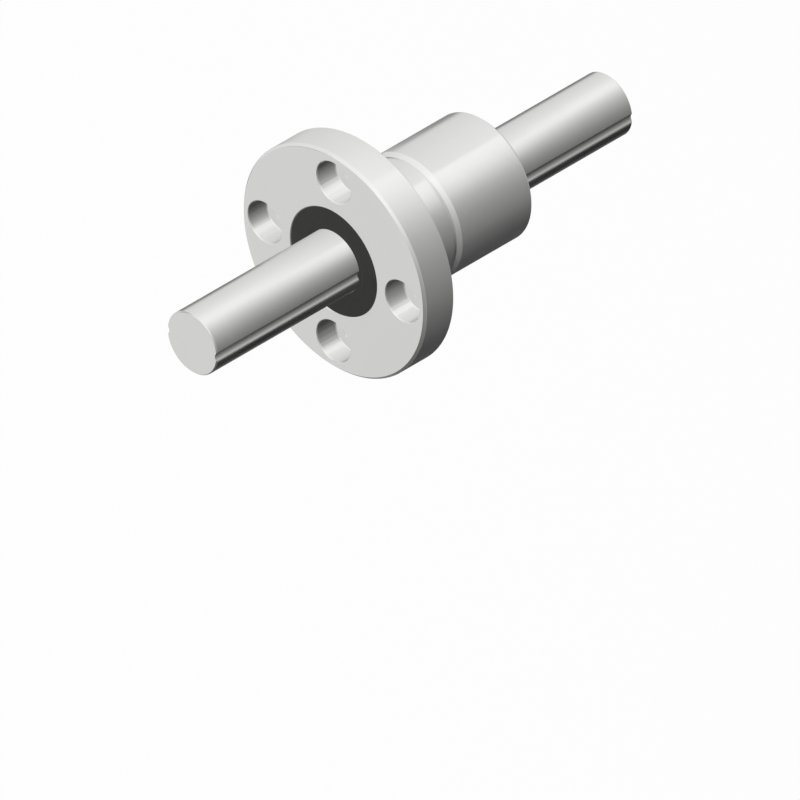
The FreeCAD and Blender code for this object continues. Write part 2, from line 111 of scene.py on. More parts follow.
# Picture
AZIMUTH = math.radians(45)  # the camera's turn about the upright, from looking along +Y
TILT = math.atan(math.sqrt(0.5))  # how far it looks down, with all three axes equally foreshortened
PICTURE_WIDTH = 136.0
PICTURE_RIGHT = 6.36  # from the flange's centre to the picture's centre
PICTURE_DOWN = 26.33
CAMERA_DISTANCE = 1.0  # metres, as are the sizes of the floor and the lights
FLOOR_LEVEL = -0.12
FLOOR_REACH = 4.0
FLOOR_WHITE = 0.95  # share of plain white in the floor as the camera sees it; the rest is its paint
SKY_LIGHT = 0.5  # brightness of the sky that lights the object, where 1 is a white page

# Surface
MARK_CHANGE = 0.6  # how fast a tool mark changes round the piece, in steps of its noise to the radian
BROAD_MARKS = 0.06  # scale of the patches of roughness, where that of the marks is 1
NOISE_RANGE = (0.3, 0.7)  # where nearly all values of a noise lie
MARKS_TURN = 0.25  # turns between the marks and the way in which anisotropy draws reflections out
SKIN_SPREAD = 0.08  # how much the roughness of a moulded skin changes either way

# Fineness
STEP = math.radians(1.5)  # widest turn between two columns of a turned surface
ARC_STEPS = 6  # points along a rounded corner
HOLE_STEPS = 25  # points along half a hole
PAINTED_REFLECTION_STEPS = 145  # points across a sheet of painted reflection
RIM_STEPS = 72  # points round the glowing disc of painted reflection that closes the tunnel
ANGLE_DIGITS = 9  # columns whose turns agree this far are one
SAME_PLACE = 2e-7  # metres; closer points are one
HAIR = 1e-6  # millimetres; a ray this close to a hole's edge touches it
FLAT = 0.99  # a face whose unit normal has more than this along the axis is an end face
SHARP_TURN = math.radians(20)  # an edge where the surface turns by more than this isn't blended


def wrapped(angle):
    """An angle brought to within half a turn of zero."""
    return (angle + math.pi) % (2 * math.pi) - math.pi


def rounded(corners, radii):
    """An outline with its inner corners rounded, as (radius, depth) rows.

    Each arc touches both edges of its corner. It runs from one touching point to the other by turning the
    line from its centre evenly, which weighs the two touching lines by the sines of the turns to each.
    """
    corners = np.array(corners, float)
    edges = np.diff(corners, axis=0)
    along = edges / np.linalg.norm(edges, axis=1)[:, None]
    before, after = along[:-1], along[1:]
    turn = np.arccos(np.clip((before * after).sum(1), -1, 1))[:, None]
    radii = np.array(radii, float)[:, None]
    reach = radii * np.tan(turn / 2)
    start = corners[1:-1] - before * reach
    end = corners[1:-1] + after * reach
    inward = after - before
    inward /= np.linalg.norm(inward, axis=1)[:, None]
    centre = corners[1:-1] + inward * radii / np.cos(turn / 2)
    share = np.linspace(0, 1, ARC_STEPS)[None, :, None]
    turn = turn[:, :, None]
    near, far = np.sin((1 - share) * turn), np.sin(share * turn)
    arcs = (start - centre)[:, None] * near + (end - centre)[:, None] * far
    arcs = centre[:, None] + arcs / np.sin(turn)
    return np.vstack([corners[:1], arcs.reshape(-1, 2), corners[-1:]])


def cylinder_points(angles, rings):
    """Points of rings about the axis: x = radius sin(angle), z = radius cos(angle), y as the ring says.

    Each ring is (radius, y), and either may be one number or one for each angle.
    """
    radius = np.array([np.broadcast_to(ring[0], angles.shape) for ring in rings])
    y = np.array([np.broadcast_to(ring[1], angles.shape) for ring in rings])
    return np.stack([radius * np.sin(angles), y, radius * np.cos(angles)], -1)


def quads(points, closed=True):
    """A grid of points, rows by columns, as an array of vertices and one of four-cornered faces."""
    rows, columns = points.shape[:2]
    index = np.arange(rows * columns).reshape(rows, columns)
    if closed:
        index = np.hstack([index, index[:, :1]])
    corners = [index[:-1, :-1], index[:-1, 1:], index[1:, 1:], index[1:, :-1]]
    return points.reshape(-1, 3), np.stack(corners, -1).reshape(-1, 4)


def hole_columns(place, distance, radius):
    """Angles whose rays from the axis meet a round hole at evenly turned points of its edge.

    The hole's centre is at a distance from the axis, so a ray that meets its edge a turn t from the middle
    leans by the arc sine of radius times sin(t) over that distance.
    """
    turns = np.linspace(-math.pi / 2, math.pi / 2, HOLE_STEPS)
    return place + np.arcsin(radius * np.sin(turns) / distance)


def all_columns(*groups):
    """The angles of a turned surface: even ones and those that its features need, each once."""
    even = np.arange(0, 2 * math.pi, STEP)
    angles = np.concatenate([even, *groups]) % (2 * math.pi)
    return np.unique(np.round(angles, ANGLE_DIGITS) % round(2 * math.pi, ANGLE_DIGITS))


def ray_crossings(angles, places, distance, radius):
    """Where rays from the axis enter and leave round holes, and which rays meet which hole.

    A ray that leans by a from a hole's centre crosses its edge at distance cos(a), less and plus the root
    of radius squared less the square of distance sin(a). Other rays get the distance at which a ray would
    touch it.
    """
    lean = wrapped(angles[:, None] - np.array(places)[None, :])
    across = np.abs(distance * np.sin(lean))
    met = (across <= radius + HAIR) & (np.cos(lean) > 0)
    half = np.sqrt(np.maximum(radius**2 - across**2, 0)) * (across < radius - HAIR) * met
    middle = (distance * np.cos(lean) * met).sum(1)
    middle[~met.any(1)] = math.sqrt(distance**2 - radius**2)
    columns = [np.flatnonzero(met[:, k]) for k in range(len(places))]
    columns = [found[np.argsort(lean[found, k])] for k, found in enumerate(columns)]
    return middle - half.sum(1), middle + half.sum(1), columns


def ring_loop(angles, columns, near, far, y):
    """The edge of a hole in a flat face: its far side one way round and its near side the other."""
    found = np.concatenate([columns[::-1], columns[1:-1]])
    radius = np.concatenate([far[columns[::-1]], near[columns[1:-1]]])
    angle = angles[found]
    return np.stack([radius * np.sin(angle), np.full_like(radius, y), radius * np.cos(angle)], -1)


def hole_wall(loop, centre, inward, outline):
    """A hole's wall: its edge, and then a flat ring about the hole's axis for each row of the outline.

    A row is (radius as a share of the edge's, depth below the centre), and the ring's points keep the turns
    of the edge's points.
    """
    inward, centre = np.array(inward, float), np.array(centre, float)
    away = loop - centre
    away -= (away @ inward)[:, None] * inward
    share, depth = np.array(outline, float).T
    rings = centre + share[:, None, None] * away + depth[:, None, None] * inward
    return np.concatenate([loop[None], rings])


def stitched(first, second, centre):
    """Triangles between two rings about one line along Y whose points are spaced differently.

    The points of both are taken in the order of their turns about that line. Each is joined to the one
    before it on its own ring and to the last one taken on the other ring.
    """
    rings = [first - centre, second - centre]
    turns = [-np.arctan2(ring[:, 0], ring[:, 2]) % (2 * math.pi) for ring in rings]
    starts = [np.argmin(turn) for turn in turns]
    first, second = (np.roll(ring, -start, 0) for ring, start in zip((first, second), starts))
    order = np.argsort(np.concatenate([np.roll(turn, -start) for turn, start in zip(turns, starts)]))
    on_first = order < len(first)
    taken, other = np.cumsum(on_first), np.cumsum(~on_first)
    here = (taken - 1) % len(first)
    there = (other - 1) % len(second) + len(first)
    before = np.where(on_first, (taken - 2) % len(first), (other - 2) % len(second) + len(first))
    faces = np.where(on_first, [before, here, there], [here, there, before]).T
    return np.vstack([first, second]), faces


def groove_lean(angles):
    """How far each angle is from the middle of the nearer ball groove."""
    return np.abs(wrapped(angles[:, None] - np.array(GROOVE_SIDES)[None, :])).min(1)


def groove_radius(angles, near_side, radius):
    """Distance from the axis to a ball groove's circle along each ray, or nothing where the ray misses it.

    A ray that leans by a from the groove's middle meets its circle at BALL_ROW cos(a), less (near side) or
    plus the root of radius squared less the square of BALL_ROW sin(a).
    """
    lean = groove_lean(angles)
    inside = radius**2 - (BALL_ROW * np.sin(lean)) ** 2
    sign = -1 if near_side else 1
    reach = BALL_ROW * np.cos(lean) + sign * np.sqrt(np.maximum(inside, 0))
    return np.where(inside > 0, reach, np.nan)


def groove_columns(radius, meets):
    """Angles of evenly turned points on a ball groove's circle, out to where it meets a round surface.

    The turns count from the circle's near side if the surface is inside the ball row, as on the shaft and
    the seals, and from its far side if not, as in the nut. The law of cosines gives the last one, where the
    circle is as far from the axis as the surface.
    """
    side = -1 if meets < BALL_ROW else 1
    cosine = side * (meets**2 - BALL_ROW**2 - radius**2) / (2 * BALL_ROW * radius)
    turns = np.linspace(-1, 1, HOLE_STEPS) * math.acos(cosine)
    lean = np.arctan2(radius * np.sin(turns), BALL_ROW + side * radius * np.cos(turns))
    return np.concatenate([place + lean for place in GROOVE_SIDES])


def make_piece(name, surfaces, materials, body, node):
    """One mesh from grids, with points that share a place made one; it rides on its body for a CAD node.

    A surface is (vertices, faces), or (vertices, faces, which of the materials it has), and the last may be
    one number or one for each face. Faces that look along the axis have the last material.
    """
    kinds = [(surface + (0,))[2] for surface in surfaces]
    surfaces = [surface[:2] for surface in surfaces]
    counts = np.cumsum([0] + [len(vertices) for vertices, _ in surfaces])
    vertices = np.vstack([vertices for vertices, _ in surfaces]) * MM
    faces = sum([(faces + start).tolist() for (_, faces), start in zip(surfaces, counts)], [])
    mesh = bpy.data.meshes.new(name)
    mesh.from_pydata(vertices, [], faces)
    normals = np.zeros(len(mesh.polygons) * 3)
    mesh.polygons.foreach_get("normal", normals)
    flat = np.abs(normals[1::3]) > FLAT
    kinds = [np.broadcast_to(kind, len(found)) for kind, (_, found) in zip(kinds, surfaces)]
    kinds = np.concatenate(kinds)
    kinds = np.where(flat, len(materials) - 1, kinds)
    mesh.polygons.foreach_set("material_index", kinds.astype(np.int32))
    for material in materials:
        mesh.materials.append(material)
    cleaned = bmesh.new()
    cleaned.from_mesh(mesh)
    bmesh.ops.remove_doubles(cleaned, verts=cleaned.verts, dist=SAME_PLACE)
    bmesh.ops.dissolve_degenerate(cleaned, edges=cleaned.edges, dist=SAME_PLACE)
    cleaned.to_mesh(mesh)
    cleaned.free()
    mesh.polygons.foreach_set("use_smooth", np.ones(len(mesh.polygons), bool))
    mesh.set_sharp_from_angle(angle=SHARP_TURN)
    piece = bpy.data.objects.new(name, mesh)
    bpy.context.scene.collection.objects.link(piece)
    blend = piece.modifiers.new("face_normals", "WEIGHTED_NORMAL")
    blend.mode = "FACE_AREA"
    blend.keep_sharp = True
    piece.visible_glossy = False
    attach(piece, body)
    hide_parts(node)
    return piece


def make_shaft():
    """Bar with its outline, a circle with two ball grooves, carried along the axis.

    A groove's edge bevel is a straight line from (edge_x, edge_z) on the circle to (bevel_x, bevel_z) in
    the groove, with x through the groove's middle. At each ring the outline is cut back to the turned bar's
    own radius, which gives the end chamfers.
    """
    front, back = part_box("spline_shaft")
    low, high = front.y / MM, back.y / MM
    rim_x = (SHAFT_RADIUS**2 + BALL_ROW**2 - RACE_RADIUS**2) / (2 * BALL_ROW)
    rim_z = math.sqrt(SHAFT_RADIUS**2 - rim_x**2)
    edge_z = rim_z + GROOVE_BEVEL
    edge_x = math.sqrt(SHAFT_RADIUS**2 - edge_z**2)
    bevel_z = rim_z - GROOVE_BEVEL / 2
    bevel_x = BALL_ROW - math.sqrt(RACE_RADIUS**2 - bevel_z**2)
    edge_lean = math.atan2(edge_z, edge_x)
    bevel_lean = math.atan2(bevel_z, bevel_x)
    leans = (edge_lean, bevel_lean, -edge_lean, -bevel_lean)
    corners = [side + lean for side in GROOVE_SIDES for lean in leans]
    angles = all_columns(groove_columns(RACE_RADIUS, SHAFT_RADIUS), corners)

    lean = groove_lean(angles)
    cross = edge_x * bevel_z - edge_z * bevel_x
    bevel = cross / ((bevel_z - edge_z) * np.cos(lean) - (bevel_x - edge_x) * np.sin(lean))
    groove = groove_radius(angles, True, RACE_RADIUS)
    outline = np.where(lean < edge_lean, bevel, SHAFT_RADIUS)
    outline = np.where(lean < bevel_lean, groove, outline)

    inner = BALL_ROW - RACE_RADIUS - GROOVE_BEVEL
    end = rounded(
        [
            (inner, 0),
            (SHAFT_RADIUS - SHAFT_CHAMFER, 0),
            (SHAFT_RADIUS, SHAFT_CHAMFER),
            (SHAFT_RADIUS, 2 * SHAFT_CHAMFER),
        ],
        [SHAFT_CHAMFER / 3, SHAFT_CHAMFER / 3],
    )
    rings = [(0, low)]
    rings += [(np.minimum(outline, radius), low + depth) for radius, depth in end]
    rings += [(np.minimum(outline, radius), high - depth) for radius, depth in end[::-1]]
    rings += [(0, high)]
    vertices, faces = quads(cylinder_points(angles, rings))
    middle = angles + wrapped(np.roll(angles, -1) - angles) / 2
    kinds = np.tile(np.where(groove_lean(middle) < edge_lean, 0, 1), len(rings) - 1)
    materials = [FINISHES["race_steel"], FINISHES["shaft_steel"], FINISHES["face_steel"]]
    surface = (vertices, faces, kinds)
    return make_piece("shaft_bar", [surface], materials, "shaft", "spline_shaft")


def make_nut():
    """Turned cylinder with its flange, as bands of rings about the axis.

    A round hole in a flat face is the gap between two bands, one that stops where rays enter the hole and
    one that starts where they leave it. Walls then join the holes' edges.
    """
    bolts = next(mount for mount in frame["record"]["mounts"] if mount["name"] == "flange_bolts")["dims"]
    bolt_radius = bolts["pcd_mm"] / 2
    through_radius = bolts["hole_r_mm"]
    front_box, back_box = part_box("flanged_nut")
    front, back = front_box.y / MM, back_box.y / MM
    length = back - front
    bolt_places = [k * 2 * math.pi / BOLT_HOLES for k in range(BOLT_HOLES)]
    passage_places = [math.atan2(side * PASSAGE_X, PASSAGE_Z) for side in (1, -1)]
    passage_distance = math.hypot(PASSAGE_X, PASSAGE_Z)
    mouth = COUNTERBORE_RADIUS + HOLE_BREAK
    exit_mouth = through_radius + HOLE_BREAK
    oil_mouth = OIL_HOLE_RADIUS + HOLE_BREAK

    angles = all_columns(
        *[hole_columns(place, bolt_radius, mouth) for place in bolt_places],
        *[hole_columns(place, bolt_radius, exit_mouth) for place in bolt_places],
        *[hole_columns(place, passage_distance, PASSAGE_RADIUS) for place in passage_places],
        groove_columns(RACE_RADIUS, NUT_BORE),
        hole_columns(math.pi, NECK_RADIUS, oil_mouth),
    )
    near, far, bolt_columns = ray_crossings(angles, bolt_places, bolt_radius, mouth)
    exit_near, exit_far, exit_columns = ray_crossings(angles, bolt_places, bolt_radius, exit_mouth)
    inner, outer, passage_columns = ray_crossings(
        angles, passage_places, passage_distance, PASSAGE_RADIUS
    )
    bore = np.fmax(NUT_BORE, groove_radius(angles, False, RACE_RADIUS))

    flange = rounded(
        [
            (bolt_radius, 0),
            (FLANGE_RADIUS - FLANGE_FRONT_CHAMFER, 0),
            (FLANGE_RADIUS, FLANGE_FRONT_CHAMFER),
            (FLANGE_RADIUS, FLANGE_BACK - FLANGE_REAR_CHAMFER),
            (FLANGE_RADIUS - FLANGE_REAR_CHAMFER, FLANGE_BACK),
            (bolt_radius, FLANGE_BACK),
        ],
        FLANGE_ROUNDINGS,
    )[1:-1]
    flange = [(radius, front + depth) for radius, depth in flange]
    flange = [(far, front)] + flange + [(exit_far, front + FLANGE_BACK)]

    across = NECK_RADIUS * np.sin(angles)
    under = (np.abs(across) <= oil_mouth + HAIR) & (np.cos(angles) < 0)
    half = np.sqrt(np.maximum(oil_mouth**2 - across**2, 0)) * (np.abs(across) < oil_mouth - HAIR) * under
    oil_place = front + OIL_HOLE_PLACE
    neck = [(bolt_radius, FLANGE_BACK), (NECK_RADIUS, FLANGE_BACK), (NECK_RADIUS, NECK_END)]
    neck = rounded(neck, [NECK_ROOT])[1:-1]
    neck = [(radius, front + depth) for radius, depth in neck]
    neck = [(exit_near, front + FLANGE_BACK)] + neck + [(NECK_RADIUS, oil_place - half)]

    end_bore = [(END_BORE + BORE_MOUTH, 0), (END_BORE, BORE_MOUTH)]
    for groove, start, end in (BEAD_GROOVE, RING_GROOVE):
        end_bore += [(END_BORE, start), (groove, start), (groove, end), (END_BORE, end)]
    end_bore += [(END_BORE, BORE_SHOULDER)]

    body = rounded(
        [
            (NECK_RADIUS, NECK_END - NECK_BLEND / 2),
            (NECK_RADIUS, NECK_END),
            CREASE,
            (BODY_RADIUS, SHOULDER_END),
            (BODY_RADIUS, length - BODY_CHAMFER),
            (BODY_RADIUS - BODY_CHAMFER, length),
            (END_BORE + BORE_MOUTH, length),
        ],
        [NECK_BLEND, *BODY_ROUNDINGS],
    )[1:-1]
    body = [(radius, front + depth) for radius, depth in body]
    body = [(NECK_RADIUS, oil_place + half)] + body
    body += [(radius, back - depth) for radius, depth in end_bore]
    body += [(outer, back - BORE_SHOULDER)]

    inside = [
        (inner, back - BORE_SHOULDER),
        (bore, back - BORE_SHOULDER),
        (bore, front + BORE_SHOULDER),
        (inner, front + BORE_SHOULDER),
    ]
    mouth_side = [(outer, front + BORE_SHOULDER)]
    mouth_side += [(radius, front + depth) for radius, depth in end_bore[::-1]]
    mouth_side += [(near, front)]
    surfaces = [quads(cylinder_points(angles, rings)) for rings in (flange, neck, body, inside, mouth_side)]

    screw_seat = rounded(
        [
            (mouth, 0),
            (COUNTERBORE_RADIUS, HOLE_BREAK),
            (COUNTERBORE_RADIUS, COUNTERBORE_DEPTH),
            (through_radius, COUNTERBORE_DEPTH),
            (through_radius, FLANGE_BACK - HOLE_BREAK),
        ],
        COUNTERBORE_ROUNDINGS,
    )[1:]
    screw_seat /= (mouth, 1)
    wall_kind = 1  # the second of the two materials
    for k, place in enumerate(bolt_places):
        centre = (bolt_radius * math.sin(place), front, bolt_radius * math.cos(place))
        loop = ring_loop(angles, bolt_columns[k], near, far, front)
        wall = hole_wall(loop, centre, (0, 1, 0), screw_seat)
        exit_loop = ring_loop(angles, exit_columns[k], exit_near, exit_far, front + FLANGE_BACK)
        surfaces += [(*quads(wall), wall_kind), (*stitched(wall[-1], exit_loop, centre), wall_kind)]
    for k, place in enumerate(passage_places):
        shoulder = front + BORE_SHOULDER
        centre = (passage_distance * math.sin(place), shoulder, passage_distance * math.cos(place))
        loop = ring_loop(angles, passage_columns[k], inner, outer, shoulder)
        surfaces.append(quads(hole_wall(loop, centre, (0, 1, 0), [(1, length - 2 * BORE_SHOULDER)])))

    columns = np.flatnonzero(under)
    columns = columns[np.argsort(angles[columns])]
    found = np.concatenate([columns[::-1], columns[1:-1]])
    y = oil_place + np.concatenate([half[columns[::-1]], -half[columns[1:-1]]])
    loop = np.stack([across[found], y, NECK_RADIUS * np.cos(angles[found])], -1)
    share = OIL_HOLE_RADIUS / oil_mouth
    drill = [(share, HOLE_BREAK), (share, OIL_HOLE_DEPTH), (0, OIL_HOLE_DEPTH + OIL_HOLE_RADIUS / 2)]
    surfaces.append(quads(hole_wall(loop, (0, oil_place, -NECK_RADIUS), (0, 0, 1), drill)))
    materials = [FINISHES["nut_steel"], FINISHES["face_steel"]]
    return make_piece("nut_body", surfaces, materials, "nut", "flanged_nut")


def make_seal(end):
    """Moulded ring: rings about the axis whose inner edge follows the shaft, with a nib in each groove."""
    node = f"{end}_seal"
    low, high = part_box(node)
    angles = all_columns(groove_columns(SEAL_NIB, SEAL_LIP))
    lip = np.fmin(SEAL_LIP, groove_radius(angles, True, SEAL_NIB))
    bead, bead_start, bead_end = SEAL_BEAD
    core_inner, core_outer, core_depth = SEAL_CORE
    face = rounded(
        [
            (SEAL_LIP - 1, SEAL_DISH),
            (SEAL_DISH_RADII[0], SEAL_DISH),
            (SEAL_DISH_RADII[1], 0),
            (SEAL_RADIUS + SEAL_FLARE, 0),
            (SEAL_RADIUS, SEAL_FLARE),
            (SEAL_RADIUS, bead_start),
        ],
        SEAL_ROUNDINGS,
    )[1:]
    web = core_inner - (SEAL_RADIUS - core_outer)
    rest = [
        (bead, bead_start),
        (bead, bead_end),
        (SEAL_RADIUS, bead_end),
        (SEAL_RADIUS, SEAL_THICKNESS),
        (core_outer, SEAL_THICKNESS),
        (core_outer, core_depth),
        (core_inner, core_depth),
        (core_inner, SEAL_THICKNESS),
        (web, SEAL_THICKNESS),
        (web, SEAL_LIP_THICKNESS),
        (lip, SEAL_LIP_THICKNESS),
        (lip, SEAL_DISH),
    ]
    rings = [(lip, SEAL_DISH)] + [tuple(row) for row in face] + rest
    if end == "front":
        rings = [(radius, low.y / MM + depth) for radius, depth in rings]
    else:
        rings = [(radius, high.y / MM - depth) for radius, depth in rings[::-1]]
    surface = quads(cylinder_points(angles, rings))
    materials = [FINISHES["seal_rubber"]]
    return make_piece(f"{end}_seal_ring", [surface], materials, "nut", node)


def srgb(colour):
    """An sRGB hex colour as linear red, green, blue and alpha."""
    parts = [int(colour[k : k + 2], 16) / 255 for k in (1, 3, 5)]
    linear = [part / 12.92 if part <= 0.04045 else ((part + 0.055) / 1.055) ** 2.4 for part in parts]
    return (*linear, 1.0)


def add(tree, kind, inputs=None, **settings):
    """Adds a shader node; an input that is a socket is linked, and any other is set."""
    node = tree.nodes.new("ShaderNode" + kind)
    for name, value in settings.items():
        setattr(node, name, value)
    for key, value in (inputs or {}).items():
        if isinstance(value, bpy.types.NodeSocket):
            tree.links.new(value, node.inputs[key])
        else:
            node.inputs[key].default_value = value
    return node


def blank_material(name):
    """A material without nodes, and its node tree."""
    material = bpy.data.materials.new(name)
    material.use_nodes = True
    material.node_tree.nodes.clear()
    return material, material.node_tree


def marks_space(tree, across, around):
    """Coordinates for tool marks on a turned piece: distance from the axis, place along it, and the rest.

    The first two are multiplied by across, in marks to the metre. The third runs slowly round the piece.
    """
    place = add(tree, "TexCoord").outputs["Object"]
    parts = add(tree, "SeparateXYZ", {"Vector": place})
    flat = add(tree, "CombineXYZ", {"X": parts.outputs["X"], "Z": parts.outputs["Z"]})
    radius = add(tree, "VectorMath", {0: flat.outputs[0]}, operation="LENGTH")
    angle = add(tree, "Math", {0: parts.outputs["X"], 1: parts.outputs["Z"]}, operation="ARCTAN2")
    first = add(tree, "Math", {0: radius.outputs["Value"], 1: across}, operation="MULTIPLY")
    second = add(tree, "Math", {0: parts.outputs["Y"], 1: across}, operation="MULTIPLY")
    third = add(tree, "Math", {0: angle.outputs[0], 1: around}, operation="MULTIPLY")
    return add(tree, "CombineXYZ", {"X": first.outputs[0], "Y": second.outputs[0], "Z": third.outputs[0]})


def tooled_steel(name, colour, roughness, spread, spacing, height, anisotropy=0.0, metallic=1.0):
    """Steel whose tool marks run round its axis: fine rings in the bump and in the roughness.

    spacing is from mark to mark and height is of a mark, both in millimetres; spread is how much the
    roughness changes. Anisotropy blurs reflections along the axis, across the marks.
    """
    material, tree = blank_material(name)
    space = marks_space(tree, 1 / (spacing * MM), MARK_CHANGE)
    marks = add(tree, "TexNoise", {"Vector": space.outputs[0], "Scale": 1.0, "Detail": 3.0})
    broad = add(tree, "TexNoise", {"Vector": space.outputs[0], "Scale": BROAD_MARKS, "Detail": 2.0})
    rough = add(
        tree,
        "MapRange",
        {
            "Value": broad.outputs["Fac"],
            "From Min": NOISE_RANGE[0],
            "From Max": NOISE_RANGE[1],
            "To Min": roughness - spread,
            "To Max": roughness + spread,
        },
    )
    bump = add(
        tree,
        "Bump",
        {"Height": marks.outputs["Fac"], "Distance": height * MM, "Strength": 1.0},
    )
    tangent = add(tree, "Tangent", direction_type="RADIAL", axis="Y")
    shader = add(
        tree,
        "BsdfPrincipled",
        {
            "Base Color": srgb(colour),
            "Metallic": metallic,
            "Roughness": rough.outputs["Result"],
            "Anisotropic": anisotropy,
            "Anisotropic Rotation": MARKS_TURN,
            "Tangent": tangent.outputs[0],
            "Normal": bump.outputs[0],
        },
    )
    add(tree, "OutputMaterial", {"Surface": shader.outputs[0]})
    return material


def moulded(name, colour, roughness, grain, height):
    """Moulded rubber or resin: a matt skin with its mould's grain, which has a size and a height in mm."""
    material, tree = blank_material(name)
    place = add(tree, "TexCoord").outputs["Object"]
    skin = add(tree, "TexNoise", {"Vector": place, "Scale": 1 / (grain * MM), "Detail": 4.0})
    rough = add(
        tree,
        "MapRange",
        {
            "Value": skin.outputs["Fac"],
            "To Min": roughness - SKIN_SPREAD,
            "To Max": roughness + SKIN_SPREAD,
        },
    )
    bump = add(tree, "Bump", {"Height": skin.outputs["Fac"], "Distance": height * MM, "Strength": 1.0})
    shader = add(
        tree,
        "BsdfPrincipled",
        {
            "Base Color": srgb(colour),
            "Roughness": rough.outputs["Result"],
            "Normal": bump.outputs[0],
        },
    )
    add(tree, "OutputMaterial", {"Surface": shader.outputs[0]})
    return material


# A steel's numbers are its roughness and the spread of that, then the spacing and height of its marks.
# Those of a moulded finish are its roughness, then the size and height of its grain. Real marks and real
# grain lie a few hundredths of a millimetre apart, too fine to show here, so both are drawn as coarse as
# they need to be.
FINISHES = {
    # Hardened steel, ground flat on the end faces of the nut and the shaft: a pale grey with no direction to
    # its sheen, so that a whole face shows one even tone. The grinding marks, drawn 0.4 mm apart, show as
    # the faintest rings.
    "face_steel": tooled_steel("ground_face_steel", "#D0D0CF", 0.25, 0.03, 0.4, 0.0006, metallic=0.95),
    # Induction-hardened bearing steel, ground between centres and finished by lapping: bright, with soft
    # and narrow highlights along the bar and near black where it faces the dark. Its marks are drawn 0.3 mm
    # apart.
    "shaft_steel": tooled_steel("ground_bearing_steel", "#CBCBCA", 0.24, 0.02, 0.3, 0.0004),
    # The same bearing steel in the ball grooves, ground but not lapped, and so duller than the outside.
    "race_steel": tooled_steel("ground_race_steel", "#B8B8B7", 0.46, 0.02, 0.3, 0.0004),
    # Case-hardened alloy steel, turned and then ground on its rounds: marks that run round it draw each
    # highlight out along the axis and leave it sharp across, and the satin skin keeps the shaded side from
    # going black.
    "nut_steel": tooled_steel(
        "satin_turned_steel", "#D2D2D1", 0.22, 0.03, 0.4, 0.0006, anisotropy=0.8, metallic=0.9
    ),
    # Nitrile rubber with carbon black, moulded: matt and nearly black, a little brown, with a fine grain
    # that breaks up what sheen there is.
    "seal_rubber": moulded("moulded_nitrile_rubber", "#161514", 0.7, 0.25, 0.004),
    # Cold-rolled mild steel strip, pressed: duller than the ground steels, a plain grey.
    "washer_steel": tooled_steel("pressed_steel_strip", "#B9B9B8", 0.38, 0.05, 0.5, 0.001),
    # Spring steel, stamped and phosphated: a dark grey coat that hardly shines.
    "spring_steel": tooled_steel("phosphated_spring_steel", "#4A4A4C", 0.5, 0.05, 0.5, 0.001),
    # Acetal, moulded in its natural colour: a milky white with a waxy sheen.
    "cap_resin": moulded("moulded_acetal", "#E0DDD2", 0.4, 0.6, 0.003),
    # Polyamide, moulded in its natural colour: yellower and a little duller than acetal.
    "retainer_resin": moulded("moulded_polyamide", "#CDC9BC", 0.45, 0.6, 0.003),
    # Through-hardened bearing steel, lapped: a mirror that shows everything round it.
    "ball_steel": tooled_steel("lapped_bearing_steel", "#C9C9C9", 0.08, 0.02, 0.6, 0.0001),
}


def dress_inner_pieces():
    """Gives each CAD node the finish of its material slot in the record."""
    for part in frame["record"]["subparts"]:
        piece = frame["nodes"][part["node"]]
        piece.visible_glossy = False
        piece.data.materials.clear()
        piece.data.materials.append(FINISHES[part["material_slot"]])


def white_rays(tree):
    """One for rays that show the background itself: from the camera, or off or through a glossy surface."""
    path = add(tree, "LightPath")
    seen = add(
        tree,
        "Math",
        {0: path.outputs["Is Camera Ray"], 1: path.outputs["Is Glossy Ray"]},
        operation="MAXIMUM",
    )
    both = {0: seen.outputs[0], 1: path.outputs["Is Transmission Ray"]}
    return add(tree, "Math", both, operation="MAXIMUM").outputs[0]


def make_world():
    """A sky that lights the object, and plain white wherever a ray shows the background itself."""
    world = bpy.data.worlds.new("pale_studio")
    world.use_nodes = True
    tree = world.node_tree
    tree.nodes.clear()
    plain = add(tree, "Background", {"Color": (1, 1, 1, 1), "Strength": SKY_LIGHT})
    white = add(tree, "Background", {"Color": (1, 1, 1, 1), "Strength": 1.0})
    mixed = add(tree, "MixShader", {0: white_rays(tree), 1: plain.outputs[0], 2: white.outputs[0]})
    add(tree, "OutputWorld", {"Surface": mixed.outputs[0]})
    world.cycles.sampling_method = "NONE"
    bpy.context.scene.world = world


def stage_mesh(name, vertices, faces, material):
    """A mesh of the studio, in metres, whose glow lights nothing by itself."""
    mesh = bpy.data.meshes.new(name)
    mesh.from_pydata(vertices, [], faces)
    mesh.materials.append(material)
    material.cycles.emission_sampling = "NONE"
    thing = bpy.data.objects.new(name, mesh)
    bpy.context.scene.collection.objects.link(thing)
    return thing


def make_floor():
    """A broad, pale floor well below the object, all but plain white in the picture."""
    material, tree = blank_material("pale_floor")
    paint = add(tree, "BsdfDiffuse", {"Color": srgb("#F4F4F4")})
    white = add(tree, "Emission", {"Color": (1, 1, 1, 1), "Strength": 1.0})
    share = add(tree, "Math", {0: white_rays(tree), 1: FLOOR_WHITE}, operation="MULTIPLY")
    mixed = add(tree, "MixShader", {0: share.outputs[0], 1: paint.outputs[0], 2: white.outputs[0]})
    add(tree, "OutputMaterial", {"Surface": mixed.outputs[0]})
    reach = FLOOR_REACH
    corners = [(-reach, -reach), (reach, -reach), (reach, reach), (-reach, reach)]
    stage_mesh("floor", [(x, y, FLOOR_LEVEL) for x, y in corners], [(0, 1, 2, 3)], material)


PAINTED_REFLECTION_REACH = 0.11  # metres from the axis
PAINTED_REFLECTION_GLOW = 1.6  # glow of a sheet of painted reflection where its colour ramp is white
